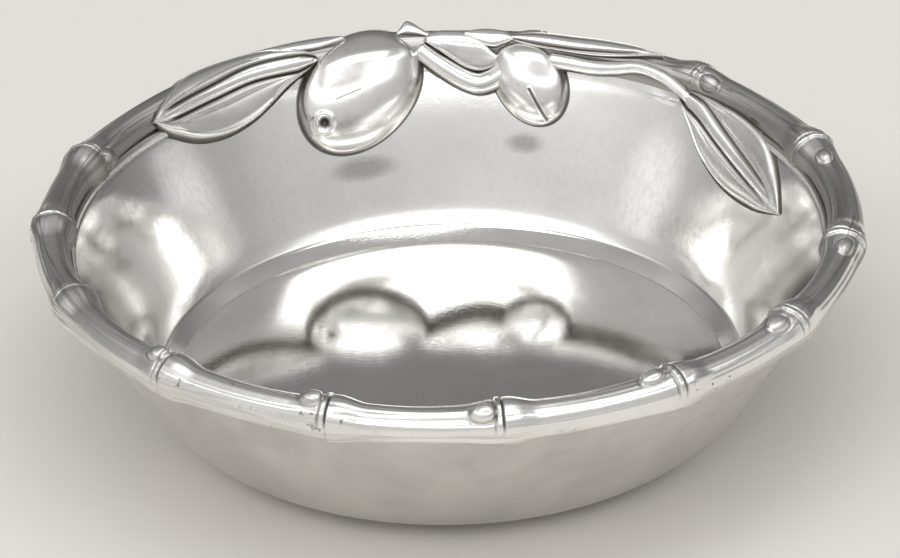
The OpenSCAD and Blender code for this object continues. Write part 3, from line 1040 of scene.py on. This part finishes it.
class BOWL_OT_stage(Operator):
    """Sets the table, the camera and the light"""

    bl_idname = "bowl.stage"
    bl_label = "Stage"

    def table(self, look):
        """Lays the pale table under the bowl."""
        bm = bmesh.new()
        bmesh.ops.create_grid(bm, x_segments=1, y_segments=1, size=look.table_w / 2)
        mesh = bpy.data.meshes.new("table")
        bm.to_mesh(mesh)
        bm.free()
        material = bpy.data.materials.new("table_paper")
        material.use_nodes = True
        tree = material.node_tree
        shader = tree.nodes["Principled BSDF"]
        shader.inputs["Roughness"].default_value = 0.9
        shader.inputs["Specular IOR Level"].default_value = 0.2
        place = add_node(tree, "ShaderNodeTexCoord").outputs["Object"]
        fibre = add_noise(tree, place, 300, 3)
        pale = (*look.table, 1)
        greyer = (*(0.985 * channel for channel in look.table), 1)
        tree.links.new(blend_colours(tree, fibre, pale, greyer), shader.inputs["Base Color"])
        mesh.materials.append(material)
        table = bpy.data.objects.new("table", mesh)
        bpy.context.collection.objects.link(table)

    def camera(self, scene, look):
        """Stands the camera where the photo was taken from."""
        lens = bpy.data.cameras.new("camera")
        lens.lens = look.lens
        lens.sensor_width = 36
        lens.clip_end = 20
        camera = bpy.data.objects.new("camera", lens)
        scene.collection.objects.link(camera)
        sight = Vector(look.aim) - Vector(look.camera)
        turn = sight.to_track_quat("-Z", "Y").to_matrix().to_4x4()
        camera.matrix_world = (Matrix.Translation(look.camera) @ turn
                               @ Matrix.Rotation(look.roll, 4, "Z"))
        scene.camera = camera

    def lamp(self, look):
        """Hangs a large soft lamp that faces the bowl."""
        light = bpy.data.lights.new("key", "AREA")
        light.energy = look.key
        light.shape = "RECTANGLE"
        light.size = look.lamp_w
        light.size_y = look.lamp_l
        lamp = bpy.data.objects.new("key", light)
        bpy.context.collection.objects.link(lamp)
        lamp.location = look.lamp
        lamp.rotation_euler = (-lamp.location).to_track_quat("-Z", "Y").to_euler()

    def surroundings(self, scene):
        """Lights the room: bright in front, dim behind the table, with a window on each side."""
        world = bpy.data.worlds.new("studio")
        world.use_nodes = True
        tree = world.node_tree
        sky = add_node(tree, "ShaderNodeTexCoord").outputs["Generated"]
        axes = add_node(tree, "ShaderNodeSeparateXYZ", {"Vector": sky}).outputs

        def ramp(stops):
            """Grey by height above the horizon."""
            node = add_node(tree, "ShaderNodeValToRGB", {"Fac": axes["Z"]})
            elements = node.color_ramp.elements
            while len(elements) < len(stops):
                elements.new(0.5)
            for element, (height, grey) in zip(elements, stops):
                element.position = height
                element.color = (grey, grey * 0.995, grey * 0.985, 1)
            return node.outputs["Color"]

        facing = spread(tree, axes["Y"], -0.5, 0.6, 1, 0)
        shade = blend_colours(tree, facing, ramp(ROOM_BEHIND), ramp(ROOM_BEFORE))
        for towards, strength in WINDOWS:
            near = add_node(tree, "ShaderNodeVectorMath", {0: sky, 1: towards}, operation="DOT_PRODUCT")
            glow = spread(tree, near.outputs["Value"], 0.976, 0.998, 0, strength)
            shade = blend_colours(tree, glow, shade, (1, 1, 1, 1))
        background = tree.nodes["Background"]
        tree.links.new(shade, background.inputs["Color"])
        tree.links.new(spread(tree, axes["X"], -0.7, 0.8, 1.1, 0.82), background.inputs["Strength"])
        scene.world = world

    def execute(self, context):
        scene = context.scene
        look = scene.bowl_stage
        scene.view_settings.view_transform = "Standard"
        self.table(look)
        self.camera(scene, look)
        self.lamp(look)
        self.surroundings(scene)
        return {"FINISHED"}


class BOWL_PT_sidebar(Panel):
    """Sizes, finishes and steps of the bowl"""

    bl_idname = "BOWL_PT_sidebar"
    bl_label = "Bamboo Rim Bowl"
    bl_space_type = "VIEW_3D"
    bl_region_type = "UI"
    bl_category = "Bowl"

    def draw(self, context):
        for operator in OPERATORS:
            self.layout.operator(operator.bl_idname)
        for name in GROUPS:
            group = getattr(context.scene, name)
            box = self.layout.box()
            for key in group.__annotations__:
                box.prop(group, key)


GROUPS = {
    "bowl_sizes": BowlSizes,
    "bowl_rim": RimSizes,
    "bowl_sprig": SprigSizes,
    "bowl_finish": BowlFinish,
    "bowl_stage": StageLook,
}
OPERATORS = (BOWL_OT_shell, BOWL_OT_rim_canes, BOWL_OT_olives, BOWL_OT_leaves, BOWL_OT_stems,
             BOWL_OT_stage)


def register():
    for name, group in GROUPS.items():
        bpy.utils.register_class(group)
        setattr(bpy.types.Scene, name, PointerProperty(type=group))
    for operator in OPERATORS:
        bpy.utils.register_class(operator)
    bpy.utils.register_class(BOWL_PT_sidebar)


def unregister():
    bpy.utils.unregister_class(BOWL_PT_sidebar)
    for operator in reversed(OPERATORS):
        bpy.utils.unregister_class(operator)
    for name, group in reversed(GROUPS.items()):
        delattr(bpy.types.Scene, name)
        bpy.utils.unregister_class(group)


def main():
    """Makes every piece."""
    register()
    bpy.ops.bowl.shell()
    bpy.ops.bowl.rim_canes()
    bpy.ops.bowl.olives()
    bpy.ops.bowl.leaves()
    bpy.ops.bowl.stems()
    bpy.ops.bowl.stage()


if __name__ == "__main__":
    main()
